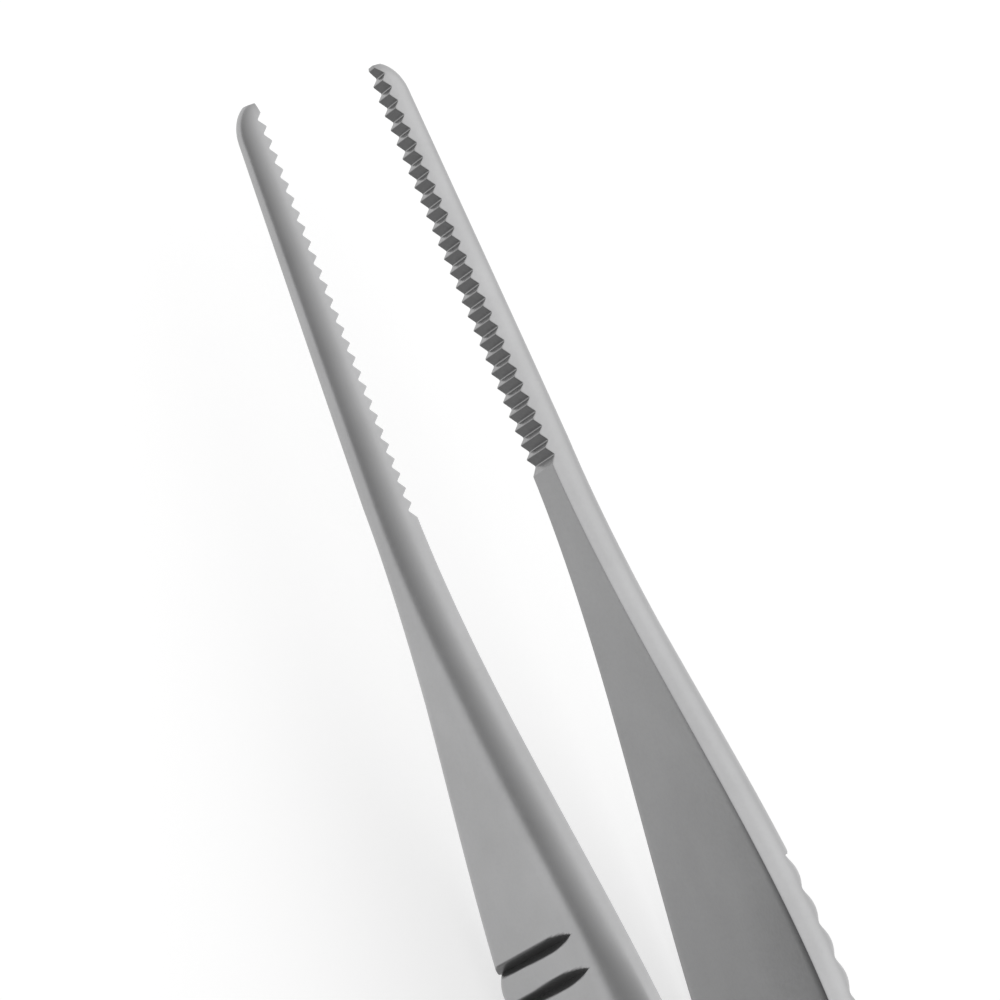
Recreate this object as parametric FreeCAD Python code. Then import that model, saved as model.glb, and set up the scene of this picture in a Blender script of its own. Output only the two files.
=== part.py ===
"""Thumb forceps with serrated jaws, lying on their side, in millimetres.

Two spring arms are forged apart and welded face to face at the heel. The tips point to +Y, the
arms open along X and the width of the arms runs along Z. The origin is on the surface that the
forceps lie on, in the middle of their length and of their opening. A distance "from the tip" is
measured along the length, from the end of the jaws towards the heel.
"""
import FreeCAD, Part
import math
import os

from FreeCAD import Vector

# Widths of an arm, seen on its face
tip_width = 1.3
jaw_root_width = 2.4
grip_width = 14.4
heel_width = 9.0

# Cross grooves on the outer face of the grip, with crowned ridges between them
groove_count = 16
groove_pitch = 1.82
first_groove = 43.0
groove_depth = 0.33
shoulder_reach = 0.22
shoulder_drop = 0.13
grooves_end = first_groove + (groove_count - 0.5) * groove_pitch

# Lengths of an arm, from the tip to the heel
jaw_root = 20.2
grip_begins = first_groove + 5.5 * groove_pitch
grip_ends = grooves_end + 5.19
spring_length = 31.6
heel_length = 12.0
heel_begins = grip_ends + spring_length
overall_length = heel_begins + heel_length

# Bow of an arm, seen from the side: share of the way to the weld, half of the opening, thickness
bow_stations = (
    (0.0, 3.30, 1.28),
    (0.19, 3.83, 1.60),
    (0.37, 4.09, 2.08),
    (0.54, 3.65, 2.00),
    (0.75, 2.09, 1.60),
    (0.93, 0.63, 1.45),
)
weld_begins = heel_begins - 1.0
heel_thickness = 1.5
nose_length = 1.1
nose_end_share = 0.42

# Rounding of the edges of the outer face, at the tip, jaw root, grip and heel
tip_edge_radius = 0.5
jaw_edge_radius = 0.75
grip_edge_radius = 1.3
heel_edge_radius = 0.7

# Jaw serrations: leaning teeth, which mesh when the jaws close
tooth_pitch = 0.75
tooth_count = 28
tooth_depth = 0.33
steep_share = 0.42
first_crest = 0.13

# Sections that the arm is shaped through, from the tip to the heel
nose_section_shares = (0.0, 0.14, 0.45, 1.0)
jaw_section_count = 4
flare_section_count = 12
plain_grip_section_count = 3
spring_section_count = 9

# Metal left inside each arm until its inner face is cut, and room that the cut takes outside it
uncut_inside = 0.5
spare = 3.0

middle_height = grip_width / 2
tip_y = overall_length / 2


def at(distance_from_tip, x=0.0, z=0.0):
    """A point of the model, by its distance from the tip."""
    return Vector(x, tip_y - distance_from_tip, z)


def line(*points):
    """Straight edges through the points, in order."""
    return [Part.LineSegment(a, b).toShape() for a, b in zip(points, points[1:])]


def closed(edges):
    """One wire from edges that meet end to end."""
    return Part.Wire(Part.sortEdges(edges)[0])


def eased(share):
    """A share from 0 to 1 that starts and ends level."""
    return share * share * (3 - 2 * share)


def half_width(distance_from_tip):
    """Half the width of an arm behind its nose."""
    tip, root, grip, heel = (w / 2 for w in (tip_width, jaw_root_width, grip_width, heel_width))
    s = distance_from_tip
    if s <= jaw_root:
        return tip + (root - tip) * s / jaw_root
    if s < grip_begins:
        return root + (grip - root) * eased((s - jaw_root) / (grip_begins - jaw_root))
    if s <= grip_ends:
        return grip
    if s < heel_begins:
        return grip - (grip - heel) * eased((s - grip_ends) / (heel_begins - grip_ends))
    return heel


def edge_radius(distance_from_tip):
    """The rounding of the outer edges, which grows to the grip and shrinks to the heel."""
    steps = (
        (0.0, tip_edge_radius),
        (jaw_root, jaw_edge_radius),
        (grip_begins, grip_edge_radius),
        (grip_ends, grip_edge_radius),
        (heel_begins, heel_edge_radius),
    )
    for (s0, r0), (s1, r1) in zip(steps, steps[1:]):
        if distance_from_tip <= s1:
            return r0 + (r1 - r0) * (distance_from_tip - s0) / (s1 - s0)
    return heel_edge_radius


def bow_curve(offset):
    """The bow of an arm seen from its side: offset 0 is the inner face, 1 is the outer face."""
    points = [
        at(share * weld_begins, x=opening + offset * thickness)
        for share, opening, thickness in bow_stations
    ]
    points += [at(s, x=offset * heel_thickness) for s in (weld_begins, heel_begins)]
    curve = Part.BSplineCurve()
    curve.interpolate(
        Points=points,
        InitialTangent=points[1] - points[0],
        FinalTangent=Vector(0, -1, 0),
    )
    return curve


def height(curve, distance_from_tip):
    """How far along X a bow curve lies at one distance from the tip."""
    x = bow_stations[0][1]
    for _ in range(4):
        x = curve.value(curve.parameter(at(distance_from_tip, x=x))).x
    return x


def section(distance_from_tip, inner_x, outer_x, half, radius):
    """The closed section of an arm: flat inside, with the two edges of its outer face rounded."""
    def point(x, z):
        return at(distance_from_tip, x=x, z=middle_height + z)

    round_middle = radius * (1 - math.sqrt(0.5))
    corners = {}
    for side in (1, -1):
        corners[side] = (
            point(inner_x - uncut_inside, side * half),
            point(outer_x - radius, side * half),
            point(outer_x - round_middle, side * (half - round_middle)),
            point(outer_x, side * (half - radius)),
        )
    lower, upper = corners[-1], corners[1]
    return Part.Wire([
        *line(lower[0], upper[0], upper[1]),
        Part.Arc(*upper[1:]).toShape(),
        *line(upper[3], lower[3]),
        Part.Arc(*reversed(lower[1:])).toShape(),
        *line(lower[1], lower[0]),
    ])


def nose_section(distance_from_tip, inner, outer):
    """A section of the nose, which swells from the blunt end to the full section of the arm."""
    s = distance_from_tip
    reach = nose_length / math.sqrt(1 - nose_end_share ** 2)
    share = math.sqrt(1 - ((nose_length - s) / reach) ** 2)
    inner_x = height(inner, s)
    outer_x = inner_x + share * (height(outer, s) - inner_x)
    return section(s, inner_x, outer_x, share * half_width(s), share * edge_radius(s))


def groove_stations():
    """Distances from the tip through all the grooves, each with the depth cut away there."""
    stations = []
    for index in range(groove_count):
        root = first_groove + index * groove_pitch
        stations += [
            (root - groove_pitch / 2, 0.0),
            (root - shoulder_reach, shoulder_drop),
            (root, groove_depth),
            (root + shoulder_reach, shoulder_drop),
        ]
    return stations


def spread(start, end, count):
    """Even steps from the start to just before the end, each with nothing cut away there."""
    return [(start + (end - start) * step / count, 0.0) for step in range(count)]


def arm_stations():
    """Distances from the tip from the end of the nose to the heel, each with the depth cut away."""
    grooves = groove_stations()
    return [
        *spread(nose_length, jaw_root, jaw_section_count),
        *spread(jaw_root, grooves[0][0], flare_section_count),
        *grooves,
        *spread(grooves_end, grip_ends, plain_grip_section_count),
        *spread(grip_ends, heel_begins, spring_section_count),
        (heel_begins, 0.0),
    ]


def ground_envelope():
    """The space that the ground sides of the grip and the half-round end of the heel leave."""
    half = heel_width / 2
    centre = overall_length - half
    outline = [
        *line(
            at(centre, z=middle_height - half),
            at(centre, z=0),
            at(-spare, z=0),
            at(-spare, z=grip_width),
            at(centre, z=grip_width),
            at(centre, z=middle_height + half),
        ),
        Part.Arc(
            at(centre, z=middle_height + half),
            at(overall_length, z=middle_height),
            at(centre, z=middle_height - half),
        ).toShape(),
    ]
    sheet = Part.Face(closed(outline))
    sheet.translate(Vector(-heel_width, 0, 0))
    return sheet.extrude(Vector(2 * heel_width, 0, 0))


def ground_blank():
    """The right arm before its inner face and its serrations are cut."""
    inner, outer = bow_curve(0), bow_curve(1)
    nose = [nose_section(share * nose_length, inner, outer) for share in nose_section_shares]
    body = [
        section(s, height(inner, s), height(outer, s) - depth, half_width(s), edge_radius(s))
        for s, depth in arm_stations()
    ]
    body.append(section(overall_length + spare, 0.0, heel_thickness, heel_width / 2, heel_edge_radius))
    arm = Part.makeLoft(body, True, True).fuse(Part.makeLoft(nose, True))
    return ground_envelope().common(arm).removeSplitter().Solids[0]


def serrations(inner, steep_first):
    """The corners of the serrations of the right arm, from the first crest to the last.

    Each tooth space falls from one crest to its root and climbs to the next crest. The steep flank
    comes first, seen from the tip, on one arm and last on the other, so that each crest finds a
    root when the jaws close.
    """
    steep = steep_share * tooth_pitch
    slant = tooth_pitch - steep
    fall = steep if steep_first else slant
    start = first_crest + slant if steep_first else first_crest

    def corner(distance_from_tip, depth):
        return at(distance_from_tip, x=height(inner, distance_from_tip) + depth)

    corners = [corner(start, 0.0)]
    for tooth in range(tooth_count):
        crest = start + tooth * tooth_pitch
        last_tooth = tooth == tooth_count - 1
        climb = slant if last_tooth else tooth_pitch - fall
        corners.append(corner(crest + fall, tooth_depth))
        corners.append(corner(crest + fall + climb, 0.0))
    return corners


def space_inside(steep_first):
    """The space inside the right arm, bounded by its serrations and its bowed inner face."""
    inner = bow_curve(0)
    teeth = serrations(inner, steep_first)
    before = inner.trim(inner.FirstParameter, inner.parameter(teeth[0]))
    behind = inner.trim(inner.parameter(teeth[-1]), inner.LastParameter)
    tip = inner.value(inner.FirstParameter)
    weld = inner.value(inner.LastParameter)
    front = tip + Vector(0, spare, 0)
    back = at(overall_length + spare)
    outline = [
        before.toShape(),
        *line(*teeth),
        behind.toShape(),
        *line(weld, back, at(overall_length + spare, x=-spare), at(-spare, x=-spare), front, tip),
    ]
    return Part.Face(closed(outline)).extrude(Vector(0, 0, grip_width))


def finished_arm(blank, steep_first):
    """An arm on the right-hand side, with its inner face and serrations cut."""
    return blank.cut(space_inside(steep_first)).Solids[0]


def build():
    """Both arms by name."""
    blank = ground_blank()
    right = finished_arm(blank, steep_first=False)
    left = finished_arm(blank, steep_first=True).mirror(Vector(0, 0, 0), Vector(1, 0, 0))
    return {"left_arm": left, "right_arm": right}


if __name__ == "__main__":
    os.makedirs("parts", exist_ok=True)
    for name, solid in build().items():
        print(name, "valid" if solid.isValid() else "not valid", round(solid.Volume, 1), "mm3")
        solid.exportStep(f"parts/{name}.step")
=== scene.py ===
"""The looks of the thumb forceps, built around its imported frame.

Sizes of the forceps are in millimetres, and points become metres where they enter a mesh. A
distance "from the tip", s in the code, runs from the end of the jaws towards the heel, as in the
part's own source. In a section of an arm, x runs outwards from the plane where the arms meet, and
z runs along the width from its middle.
"""

import math

import bmesh
import bpy
import numpy as np
from mathutils import Matrix


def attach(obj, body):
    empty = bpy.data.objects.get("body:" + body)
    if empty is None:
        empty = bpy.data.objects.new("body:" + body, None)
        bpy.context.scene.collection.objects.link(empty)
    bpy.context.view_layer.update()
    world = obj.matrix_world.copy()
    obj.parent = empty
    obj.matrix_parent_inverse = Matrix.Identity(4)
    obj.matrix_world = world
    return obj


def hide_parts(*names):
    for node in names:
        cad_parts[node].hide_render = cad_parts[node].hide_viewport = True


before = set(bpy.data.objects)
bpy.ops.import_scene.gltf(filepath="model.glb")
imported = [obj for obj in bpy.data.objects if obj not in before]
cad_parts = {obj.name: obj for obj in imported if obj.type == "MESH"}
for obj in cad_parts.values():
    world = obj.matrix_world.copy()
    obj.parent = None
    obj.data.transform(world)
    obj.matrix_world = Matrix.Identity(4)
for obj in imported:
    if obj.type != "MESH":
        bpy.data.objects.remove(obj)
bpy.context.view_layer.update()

MM = 0.001
QUARTER_TURN = math.pi / 2

# Widths of an arm
TIP_WIDTH = 1.3
JAW_ROOT_WIDTH = 2.4
GRIP_WIDTH = 14.4
HEEL_WIDTH = 9.0
MIDDLE_HEIGHT = GRIP_WIDTH / 2

# Grooves of the grip, with crowned ridges between them
GROOVE_COUNT = 16
GROOVE_PITCH = 1.82
FIRST_GROOVE = 43.0
GROOVES_END = FIRST_GROOVE + (GROOVE_COUNT - 0.5) * GROOVE_PITCH
GROOVE_DEPTH = 0.5
GROOVE_HALF_WIDTH = 0.38
GROOVE_SOFTNESS = 0.03
RIDGE_SAG = 0.26

# Depth over which the painted shade of a groove comes in
PAINTED_SHADE_FADE = 0.04

# Where a groove runs out, on one side of its arm: share of the flat half, and how suddenly
GROOVE_REACH = 1.12
RUN_OUT_POWER = 4

# Where the ridges and grooves begin on the rounding of the outer edge, as shares of its turn
CUT_BEGINS = 0.3
CUT_FADE = 0.35

# Lengths of an arm
JAW_ROOT = 20.2
GROOVES_ON_FLARE = 5.5
GRIP_BEGINS = FIRST_GROOVE + GROOVES_ON_FLARE * GROOVE_PITCH
PLAIN_GRIP_LENGTH = 5.19
GRIP_ENDS = GROOVES_END + PLAIN_GRIP_LENGTH
SPRING_LENGTH = 31.6
HEEL_BEGINS = GRIP_ENDS + SPRING_LENGTH
HEEL_LENGTH = 12.0
LENGTH = HEEL_BEGINS + HEEL_LENGTH
WELD_BEGINS = HEEL_BEGINS - 1.0
NOSE_LENGTH = 1.6
NOSE_END_SHARE = 0.42

# Bow of an arm: share of the way to the weld, half of the opening, thickness
BOW = (
    (0.0, 3.30, 1.32),
    (0.19, 3.83, 1.80),
    (0.37, 4.09, 2.08),
    (0.54, 3.65, 2.00),
    (0.75, 2.09, 1.60),
    (0.93, 0.63, 1.45),
)
HEEL_THICKNESS = 1.5

# Rounding of the outer edges: distance from the tip, its width, and the crown of the outer face
OUTER_SHAPE = (
    (0.0, 0.6, 0.0),
    (JAW_ROOT, 1.05, 0.0),
    (30.0, 1.7, 0.01),
    (GRIP_BEGINS, 1.7, 0.02),
    (GRIP_ENDS, 1.7, 0.02),
    (HEEL_BEGINS, 1.0, 0.01),
)

# Share of an arm's thickness that the rounding takes
ROUNDED_SHARE = 0.75

# Bevel that the rounding turns into beside the grip, and the half width at which that starts
BEVEL = 0.5
BEVEL_BEGINS = 5.8

# Rounding of the inner edges, and the most of the half width that it takes
INNER_ROUNDING = 0.025
INNER_ROUNDING_SHARE = 0.2

# Serrations
TOOTH_PITCH = 0.75
TOOTH_COUNT = 28
TOOTH_DEPTH = 0.33
STEEP_SHARE = 0.42
STEEP = STEEP_SHARE * TOOTH_PITCH
FIRST_CREST = 0.13
CREST_RADIUS = 0.07
CREST_STEPS = 3
TOOTH_ROOT_RADIUS = 0.09
TOOTH_ROOT_STEPS = 6

# Painted shade on the inside of an arm, for the shade on its serration flanks and inner face: 0 is
# like its outer face and 1 is like a groove
SLANT_PAINTED_SHADE = 1.0
STEEP_PAINTED_SHADE = 0.35
INNER_PAINTED_SHADE = 0.3

# Divisions of half a ring
FLAT_STEPS = 10
SIDE_STEPS = 4
INNER_ARC_STEPS = 3
OUTER_ARC_STEPS = 14

# Rings along an arm, from the nose to the half-round end of the heel
NOSE_PLACES = (
    0.0, 0.02, 0.05, 0.1, 0.16, 0.24, 0.32, 0.42, 0.55, 0.7, 0.85, 1.0, 1.2, NOSE_LENGTH)
FLARE_RINGS = 60
GROOVE_RINGS = 15
GROOVE_CROWDING = 1.4
SPRING_RINGS = 60
HEEL_RINGS = 8
HEEL_END_RINGS = 19
LEAST_SPACING = 1e-3

# Points nearer than this, in metres, are merged, and edges with a greater angle stay sharp
MERGE_DISTANCE = 2e-7
SHARP_ANGLE = math.radians(30)

# Steel: its colour varies in soft clouds, and its roughness and surface in a fine grain
STEEL_DARK = (0.385, 0.385, 0.388)
STEEL_BRIGHT = (0.42, 0.42, 0.424)
# Painted shade: the colour that grooves, serration flanks and inner faces are darkened towards
PAINTED_SHADE_COLOUR = (0.08, 0.08, 0.081)
SMOOTHEST = 0.29
ROUGHEST = 0.37
CLOUD_SCALE = 260
CLOUD_DETAIL = 3
GRAIN_SCALE = 5200
GRAIN_DETAIL = 4
GRAIN_STRENGTH = 0.12
GRAIN_HEIGHT = 0.00002
NOISE_SPAN = (0.3, 0.7)

# Floor, in metres, with a glow that brings it to white
FLOOR_SIZE = 4.0
FLOOR_COLOUR = (0.52, 0.52, 0.52)
FLOOR_ROUGHNESS = 0.9
FLOOR_GLOW = 0.6

# Light from all round: where it is brightest, and its levels from the far side to there
BRIGHT_SIDE = (0.8, 0.1, 0.6)
LIGHT_LEVELS = (
    (0.0, 0.38),
    (0.28, 0.42),
    (0.52, 0.58),
    (0.7, 0.75),
    (0.84, 0.97),
    (0.94, 1.32),
    (1.0, 1.43),
)

# Camera: its place in metres, its own axes, and its sensor and lens in millimetres
CAMERA_PLACE = (-0.214657, -0.012975, 0.445891)
CAMERA_RIGHT = (0.850301, -0.368919, 0.375350)
CAMERA_UP = (0.290268, 0.923642, 0.250258)
CAMERA_BACK = (-0.439014, -0.103843, 0.892459)
SENSOR_WIDTH = 36.0
LENS = 369.06


def clamped_spline(points, first_slope, last_slope):
    """A smooth curve through the points, with the slopes at its ends given."""
    s = np.array([p[0] for p in points])
    x = np.array([p[1] for p in points])
    h = np.diff(s)
    rise = np.diff(x) / h
    count = len(s)
    matrix = np.zeros((count, count))
    right = np.zeros(count)
    matrix[0, 0] = matrix[-1, -1] = 1.0
    right[0], right[-1] = first_slope, last_slope
    for i in range(1, count - 1):
        matrix[i, i - 1] = 1 / h[i - 1]
        matrix[i, i] = 2 / h[i - 1] + 2 / h[i]
        matrix[i, i + 1] = 1 / h[i]
        right[i] = 3 * (rise[i - 1] / h[i - 1] + rise[i] / h[i])
    slope = np.linalg.solve(matrix, right)

    def value(at):
        i = int(np.clip(np.searchsorted(s, at) - 1, 0, count - 2))
        t = (at - s[i]) / h[i]
        if t > 1:
            return float(x[-1])
        return float(
            x[i] * (1 + 2 * t) * (1 - t) ** 2
            + x[i + 1] * t * t * (3 - 2 * t)
            + slope[i] * h[i] * t * (1 - t) ** 2
            - slope[i + 1] * h[i] * t * t * (1 - t)
        )

    return value


def bow_curve(offset):
    """The bow of an arm: offset 0 is the inner face and 1 the outer face."""
    points = [(share * WELD_BEGINS, opening + offset * thick) for share, opening, thick in BOW]
    points += [(s, offset * HEEL_THICKNESS) for s in (WELD_BEGINS, HEEL_BEGINS)]
    (s0, x0), (s1, x1) = points[:2]
    return clamped_spline(points, (x1 - x0) / (s1 - s0), 0.0)


inner_face = bow_curve(0)
outer_face = bow_curve(1)


def eased(share):
    """A share from 0 to 1 that starts and ends level."""
    return share * share * (3 - 2 * share)


def clipped(share):
    """A share kept between 0 and 1."""
    return min(1.0, max(0.0, share))


def smooth_greater(a, b, blend):
    """The greater of two depths, with a soft change from one to the other."""
    near = max(0.0, blend - abs(a - b))
    return max(a, b) + near * near / (4 * blend)


def half_width(s):
    """Half the width of an arm behind its nose."""
    tip, root, grip, heel = (w / 2 for w in (TIP_WIDTH, JAW_ROOT_WIDTH, GRIP_WIDTH, HEEL_WIDTH))
    if s <= JAW_ROOT:
        return tip + (root - tip) * s / JAW_ROOT
    if s < GRIP_BEGINS:
        return root + (grip - root) * eased((s - JAW_ROOT) / (GRIP_BEGINS - JAW_ROOT))
    if s <= GRIP_ENDS:
        return grip
    if s < HEEL_BEGINS:
        return grip - (grip - heel) * eased((s - GRIP_ENDS) / (HEEL_BEGINS - GRIP_ENDS))
    return heel


def nose_share(s):
    """How much of its full section the nose has reached."""
    if s >= NOSE_LENGTH:
        return 1.0
    reach = NOSE_LENGTH / math.sqrt(1 - NOSE_END_SHARE ** 2)
    return math.sqrt(1 - ((NOSE_LENGTH - s) / reach) ** 2)


def outer_shape(s):
    """How wide the rounding of the outer edges is, and how high the crown of the outer face."""
    places, widths, crowns = zip(*OUTER_SHAPE)
    return float(np.interp(s, places, widths)), float(np.interp(s, places, crowns))


def grip_cut(s):
    """How far the crowned ridges of the grip fall away, and how deep its grooves go."""
    last = GROOVE_COUNT - 1
    index = min(max(round((s - FIRST_GROOVE) / GROOVE_PITCH), 0), last)
    offset = s - FIRST_GROOVE - index * GROOVE_PITCH
    beyond = (index == 0 and offset < 0) or (index == last and offset > 0)
    fall = 0.0 if beyond else RIDGE_SAG * max(0.0, 1 - abs(offset) / (GROOVE_PITCH / 2)) ** 2
    return fall, max(0.0, GROOVE_DEPTH * (1 - abs(offset) / GROOVE_HALF_WIDTH))


def serration_corners(steep_first):
    """Distance from the tip and depth of the corners of the serrations, crest and root in turn."""
    slant = TOOTH_PITCH - STEEP
    fall = STEEP if steep_first else slant
    start = FIRST_CREST + slant if steep_first else FIRST_CREST
    corners = [(start, 0.0)]
    for tooth in range(TOOTH_COUNT):
        crest = start + tooth * TOOTH_PITCH
        climb = slant if tooth == TOOTH_COUNT - 1 else TOOTH_PITCH - fall
        corners.append((crest + fall, TOOTH_DEPTH))
        corners.append((crest + fall + climb, 0.0))
    return corners


def softened(corners):
    """The same zigzag with its crests and roots rounded, as points along its line."""
    points = [np.array(corners[0])]
    for index in range(1, len(corners) - 1):
        before, corner, after = (np.array(corners[i]) for i in (index - 1, index, index + 1))
        at_root = index % 2 == 1
        radius = TOOTH_ROOT_RADIUS if at_root else CREST_RADIUS
        steps = TOOTH_ROOT_STEPS if at_root else CREST_STEPS
        to_before = (before - corner) / np.linalg.norm(before - corner)
        to_after = (after - corner) / np.linalg.norm(after - corner)
        half_angle = math.acos(float(to_before @ to_after)) / 2
        setback = radius / math.tan(half_angle)
        centre = corner + (to_before + to_after) / np.linalg.norm(to_before + to_after) * (
            radius / math.sin(half_angle))
        start = corner + to_before * setback - centre
        end = corner + to_after * setback - centre
        for step in range(steps + 1):
            along = start + (end - start) * step / steps
            points.append(centre + along * radius / np.linalg.norm(along))
    points.append(np.array(corners[-1]))
    return points


def ring(inner_x, outer_x, half, rounding, crown, tooth=0.0, fall=0.0, notch=0.0, open_side=1):
    """Points (x, z, painted shade) round the section of an arm, from the middle of its inner face.

    Tooth is how far a serration cuts into the inner face, fall how far a ridge of the grip falls
    away and notch how deep a groove goes. The ridges and grooves run right through on the open
    side of the arm, 1 or -1 along z, and run out before the other. The third value is painted
    shade, from 0 to 1: a point is darkened by how far into a groove it lies.
    """
    inner = min(INNER_ROUNDING, INNER_ROUNDING_SHARE * half)
    shoulder_x = outer_x - crown
    reach = (shoulder_x - inner_x - inner) * ROUNDED_SHARE
    bottom = inner_x + tooth
    flat = half - rounding

    # Where a serration cuts past the foot of the outer rounding, the rounding starts later
    first_turn = math.asin(clipped(1 - (shoulder_x - bottom - inner) / reach))
    corner_z = half - rounding * (1 - math.cos(first_turn))
    arc_x = shoulder_x - reach * (1 - math.sin(first_turn))

    def half_section(power):
        """Points (x, z, share of the grip's cut), bevelled outside if power is over 1."""
        points = []
        for step in range(FLAT_STEPS):
            points.append((bottom, (corner_z - inner) * step / FLAT_STEPS, 0.0))
        for step in range(INNER_ARC_STEPS):
            turn = QUARTER_TURN * step / INNER_ARC_STEPS
            points.append((
                bottom + inner * (1 - math.cos(turn)),
                corner_z - inner * (1 - math.sin(turn)),
                0.0,
            ))
        for step in range(SIDE_STEPS):
            points.append((
                bottom + inner + (arc_x - bottom - inner) * step / SIDE_STEPS, corner_z, 0.0))
        for step in range(OUTER_ARC_STEPS):
            turn = first_turn + (QUARTER_TURN - first_turn) * step / OUTER_ARC_STEPS
            points.append((
                shoulder_x - reach * (1 - math.sin(turn) ** power),
                half - rounding * (1 - math.cos(turn) ** power),
                eased(clipped((turn / QUARTER_TURN - CUT_BEGINS) / CUT_FADE)),
            ))
        for step in range(FLAT_STEPS + 1):
            share = 1 - step / FLAT_STEPS
            points.append((outer_x - crown * share ** 2, flat * share, 1.0))
        return points

    def grooved(x, z, share):
        """A point with its share of the ridge's fall and of the groove taken off."""
        across = z * open_side / flat
        fallen = outer_x - x + fall * share * eased(clipped((across + 1) / 2))
        depth, painted_shade = fallen, 0.0
        run_out = GROOVE_DEPTH * max(0.0, -across / GROOVE_REACH) ** RUN_OUT_POWER
        groove_floor = notch - run_out
        if notch > 0 and share > 0 and fallen < groove_floor + GROOVE_SOFTNESS:
            depth = smooth_greater(fallen, groove_floor, GROOVE_SOFTNESS)
            # Painted shade: the deeper a point lies in a groove, the darker its colour
            painted_shade = clipped((groove_floor - fallen + GROOVE_SOFTNESS) / PAINTED_SHADE_FADE)
        return outer_x - depth, z, painted_shade

    bevel = 1 + BEVEL * eased(clipped((half - BEVEL_BEGINS) / (GRIP_WIDTH / 2 - BEVEL_BEGINS)))
    upper, lower = (half_section(1.0 if side == open_side else bevel) for side in (1, -1))
    points = [grooved(x, z, share) for x, z, share in upper]
    return points + [grooved(x, -z, share) for x, z, share in reversed(lower[1:-1])]


def ring_places(zigzag):
    """The distances from the tip at which an arm has a ring, with those of its zigzag given."""
    places = [*NOSE_PLACES, *zigzag]
    places += list(np.linspace(zigzag[-1] + 0.1, FIRST_GROOVE - GROOVE_PITCH / 2, FLARE_RINGS))
    crowded = np.linspace(0, 1, GROOVE_RINGS) ** GROOVE_CROWDING
    for index in range(GROOVE_COUNT):
        root = FIRST_GROOVE + index * GROOVE_PITCH
        for side in (-1, 1):
            places += list(root + side * GROOVE_PITCH / 2 * crowded)
    places += list(np.linspace(GROOVES_END, HEEL_BEGINS, SPRING_RINGS))
    places += list(np.linspace(HEEL_BEGINS, LENGTH - HEEL_WIDTH / 2, HEEL_RINGS))
    kept = [0.0]
    for s in sorted(places):
        if s - kept[-1] > LEAST_SPACING:
            kept.append(s)
    return kept


def body_rings(side, steep_first):
    """Rings from the tip to the half-round end: points (x, distance from tip, z, painted shade)."""
    zigzag_s, zigzag_depth = map(np.array, zip(*softened(serration_corners(steep_first))))
    rising = np.gradient(zigzag_depth, zigzag_s) > 0
    # Painted shade on the serration flanks: the slanted flanks darker than the steep ones
    zigzag_painted_shade = np.where(rising == steep_first, STEEP_PAINTED_SHADE, SLANT_PAINTED_SHADE)
    rings = []
    for s in ring_places(zigzag_s):
        share = nose_share(s)
        tooth = float(np.interp(s, zigzag_s, zigzag_depth, 0.0, 0.0))
        serrated = zigzag_s[0] < s < zigzag_s[-1]
        # The plain inner face gets painted shade too, for the shade between the arms
        face_painted_shade = float(np.interp(s, zigzag_s, zigzag_painted_shade)) if serrated else INNER_PAINTED_SHADE
        inner_x = inner_face(s)
        outer_x = inner_x + share * (outer_face(s) - inner_x)
        rounding, crown = (share * size for size in outer_shape(s))
        fall, notch = grip_cut(s)
        points = ring(
            inner_x, outer_x, share * half_width(s), rounding, crown, tooth, fall, notch, side)
        row = []
        for i, (x, z, painted_shade) in enumerate(points):
            on_inner_face = min(i, len(points) - i) <= FLAT_STEPS
            row.append((x, s, z, face_painted_shade if on_inner_face else painted_shade))
        rings.append(row)
    return rings


def heel_end_rings():
    """Rings of the heel's half-round end, as points (x, distance from the tip, z, painted shade).
    """
    half = HEEL_WIDTH / 2
    centre = LENGTH - half
    base = ring(0.0, HEEL_THICKNESS, half, *OUTER_SHAPE[-1][1:])
    rings = []
    for turn in np.linspace(0, QUARTER_TURN, HEEL_END_RINGS)[1:]:
        rings.append([
            (x, centre + abs(z) * math.sin(turn), z * math.cos(turn), 0.0) for x, z, _ in base])
    return rings


def arm(name, side, steep_first):
    """One arm as a closed mesh; side is 1 for the right arm and -1 for the left."""
    mesh = bmesh.new()
    # Each point carries painted shade, a darkening that stands in for shade in grooves, flanks and
    # the inner face
    painted_shade_layer = mesh.verts.layers.float.new("painted_shade")
    rows = []
    for points in body_rings(side, steep_first) + heel_end_rings():
        row = []
        for x, s, z, painted_shade in points:
            vertex = mesh.verts.new(
                (side * x * MM, (LENGTH / 2 - s) * MM, (MIDDLE_HEIGHT + z) * MM))
            vertex[painted_shade_layer] = painted_shade
            row.append(vertex)
        rows.append(row)
    for before, after in zip(rows, rows[1:]):
        for i in range(len(before)):
            j = (i + 1) % len(before)
            mesh.faces.new((before[i], before[j], after[j], after[i]))
    mesh.faces.new(rows[0])

    # The last ring lies folded on itself, and merging its points closes the mesh
    bmesh.ops.remove_doubles(mesh, verts=mesh.verts, dist=MERGE_DISTANCE)
    bmesh.ops.recalc_face_normals(mesh, faces=mesh.faces)
    for face in mesh.faces:
        face.smooth = True
    for edge in mesh.edges:
        edge.smooth = len(edge.link_faces) == 2 and edge.calc_face_angle(0.0) < SHARP_ANGLE
    data = bpy.data.meshes.new(name)
    mesh.to_mesh(data)
    mesh.free()
    piece = bpy.data.objects.new(name, data)
    bpy.context.scene.collection.objects.link(piece)
    return piece


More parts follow.
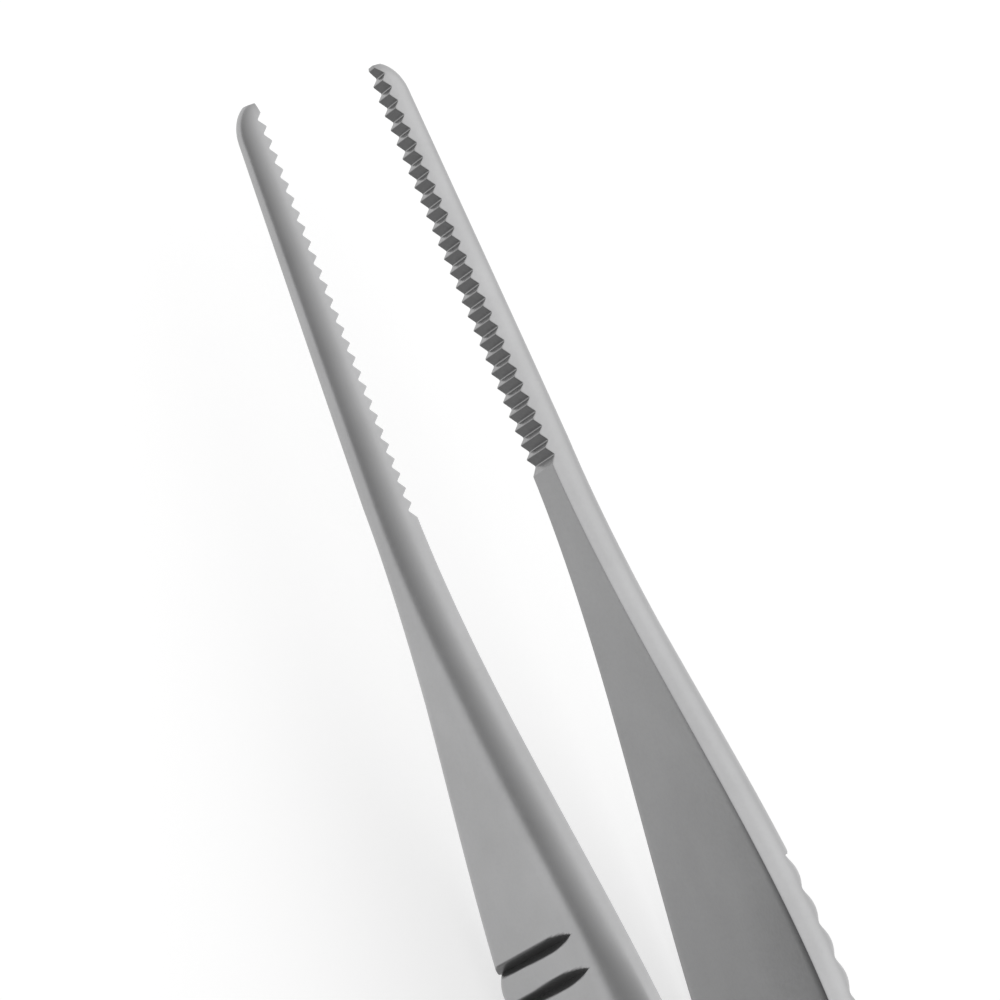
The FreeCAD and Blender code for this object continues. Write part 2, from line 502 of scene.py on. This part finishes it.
def satin_steel():
    """Satin stainless steel, with painted shade darkening the grooves, flanks and inner faces the
    mesh marks.
    """
    material = bpy.data.materials.new("satin_steel")
    material.use_nodes = True
    nodes, links = material.node_tree.nodes, material.node_tree.links
    shader = nodes["Principled BSDF"]
    shader.inputs["Metallic"].default_value = 1.0
    place = nodes.new("ShaderNodeTexCoord")

    def noise(scale, detail):
        node = nodes.new("ShaderNodeTexNoise")
        node.inputs["Scale"].default_value = scale
        node.inputs["Detail"].default_value = detail
        links.new(place.outputs["Object"], node.inputs["Vector"])
        return node

    def ramp(source, low, high):
        node = nodes.new("ShaderNodeValToRGB")
        for element, position, colour in zip(node.color_ramp.elements, NOISE_SPAN, (low, high)):
            element.position = position
            element.color = (*colour, 1)
        links.new(source.outputs["Fac"], node.inputs["Fac"])
        return node

    polished = ramp(noise(CLOUD_SCALE, CLOUD_DETAIL), STEEL_DARK, STEEL_BRIGHT)
    # Painted shade from the mesh darkens the colour towards the painted shade colour
    painted_shade_attribute = nodes.new("ShaderNodeAttribute")
    painted_shade_attribute.attribute_name = "painted_shade"
    colour = nodes.new("ShaderNodeMix")
    colour.data_type = "RGBA"
    links.new(painted_shade_attribute.outputs["Fac"], colour.inputs["Factor"])
    links.new(polished.outputs["Color"], colour.inputs[6])
    colour.inputs[7].default_value = (*PAINTED_SHADE_COLOUR, 1)
    links.new(colour.outputs[2], shader.inputs["Base Color"])
    grain = noise(GRAIN_SCALE, GRAIN_DETAIL)
    rough = ramp(grain, (SMOOTHEST,) * 3, (ROUGHEST,) * 3)
    links.new(rough.outputs["Color"], shader.inputs["Roughness"])
    bump = nodes.new("ShaderNodeBump")
    bump.inputs["Strength"].default_value = GRAIN_STRENGTH
    bump.inputs["Distance"].default_value = GRAIN_HEIGHT
    links.new(grain.outputs["Fac"], bump.inputs["Height"])
    links.new(bump.outputs["Normal"], shader.inputs["Normal"])
    return material


def floor_paper():
    """Matt paper that the camera, metal and glass see as white, and that keeps a shadow."""
    paper = bpy.data.materials.new("floor_paper")
    paper.use_nodes = True
    nodes, links = paper.node_tree.nodes, paper.node_tree.links
    shader = nodes["Principled BSDF"]
    shader.inputs["Base Color"].default_value = (*FLOOR_COLOUR, 1)
    shader.inputs["Roughness"].default_value = FLOOR_ROUGHNESS
    shader.inputs["Specular IOR Level"].default_value = 0.0
    shader.inputs["Emission Color"].default_value = (1, 1, 1, 1)
    rays = nodes.new("ShaderNodeLightPath")

    def greater(first, second):
        node = nodes.new("ShaderNodeMath")
        node.operation = "MAXIMUM"
        links.new(first, node.inputs[0])
        links.new(second, node.inputs[1])
        return node.outputs["Value"]

    seen = greater(rays.outputs["Is Camera Ray"], rays.outputs["Is Glossy Ray"])
    seen = greater(seen, rays.outputs["Is Transmission Ray"])
    glow = nodes.new("ShaderNodeMath")
    glow.operation = "MULTIPLY"
    glow.inputs[1].default_value = FLOOR_GLOW
    links.new(seen, glow.inputs[0])
    links.new(glow.outputs["Value"], shader.inputs["Emission Strength"])
    return paper


def studio():
    """A world whose light rises softly towards its bright side."""
    world = bpy.data.worlds.new("studio")
    world.use_nodes = True
    nodes, links = world.node_tree.nodes, world.node_tree.links
    direction = nodes.new("ShaderNodeTexCoord")
    towards = nodes.new("ShaderNodeVectorMath")
    towards.operation = "DOT_PRODUCT"
    towards.inputs[1].default_value = BRIGHT_SIDE
    links.new(direction.outputs["Generated"], towards.inputs[0])
    span = nodes.new("ShaderNodeMapRange")
    span.inputs["From Min"].default_value = -1.0
    span.inputs["From Max"].default_value = 1.0
    links.new(towards.outputs["Value"], span.inputs["Value"])
    levels = nodes.new("ShaderNodeValToRGB")
    while len(levels.color_ramp.elements) < len(LIGHT_LEVELS):
        levels.color_ramp.elements.new(0.5)
    for element, (position, level) in zip(levels.color_ramp.elements, LIGHT_LEVELS):
        element.position = position
        element.color = (level, level, level, 1)
    links.new(span.outputs["Result"], levels.inputs["Fac"])
    background = nodes["Background"]
    links.new(levels.outputs["Color"], background.inputs["Color"])
    background.inputs["Strength"].default_value = 1.0
    return world


# Forceps
steel = satin_steel()
for name, side, steep_first in (("right", 1, False), ("left", -1, True)):
    piece = arm(f"{name}_arm_steel", side, steep_first)
    piece.data.materials.append(steel)
    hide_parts(f"{name}_arm")
    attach(piece, "root")

# Floor
bpy.ops.mesh.primitive_plane_add(size=FLOOR_SIZE, location=(0, 0, 0))
floor = bpy.context.object
floor.name = "floor"
floor.data.materials.append(floor_paper())

# Light
bpy.context.scene.world = studio()

# Camera
camera = bpy.data.objects.new("camera", bpy.data.cameras.new("camera"))
turned = Matrix((CAMERA_RIGHT, CAMERA_UP, CAMERA_BACK)).transposed().to_4x4()
camera.matrix_world = Matrix.Translation(CAMERA_PLACE) @ turned
camera.data.sensor_width = SENSOR_WIDTH
camera.data.lens = LENS
bpy.context.scene.collection.objects.link(camera)
bpy.context.scene.camera = camera
bpy.context.scene.view_settings.view_transform = "Standard"
